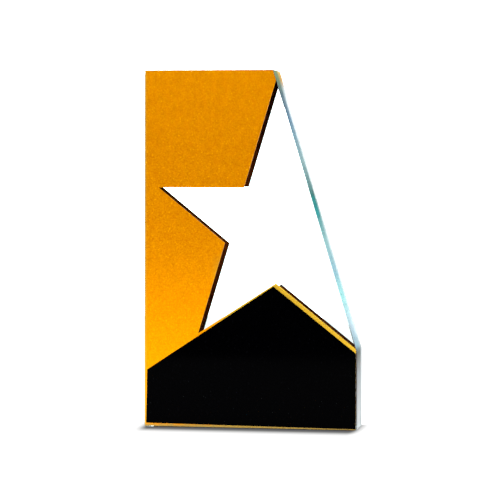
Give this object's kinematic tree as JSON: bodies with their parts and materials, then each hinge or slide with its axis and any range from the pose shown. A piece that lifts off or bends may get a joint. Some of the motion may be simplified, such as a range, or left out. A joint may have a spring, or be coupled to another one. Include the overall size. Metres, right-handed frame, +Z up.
{
  "type": "star trophy",
  "caption": "Upright clear glass block award with a slanted corner, a gold face layer with a star-shaped window and a black house-shaped name panel.",
  "frame": {"origin": "middle of the glass block's flat base, on the surface that it stands on", "axes": "+Z up, +X to the right seen from the front, face (gold and black) towards -Y"},
  "size_m": [0.12, 0.026, 0.2],
  "materials": {
    "clear_glass": "polished clear glass with a faint blue-green edge tint",
    "gold_layer": "satin metallic gold film with a fine speckle",
    "black_panel": "smooth gloss black",
    "dark_film": "satin brown-black film"
  },
  "bodies": {
    "root": {"glass_block": "clear_glass", "gold_face_layer": "gold_layer", "black_name_panel": "black_panel", "rear_backing_film": "dark_film"}
  },
  "joints": []
}
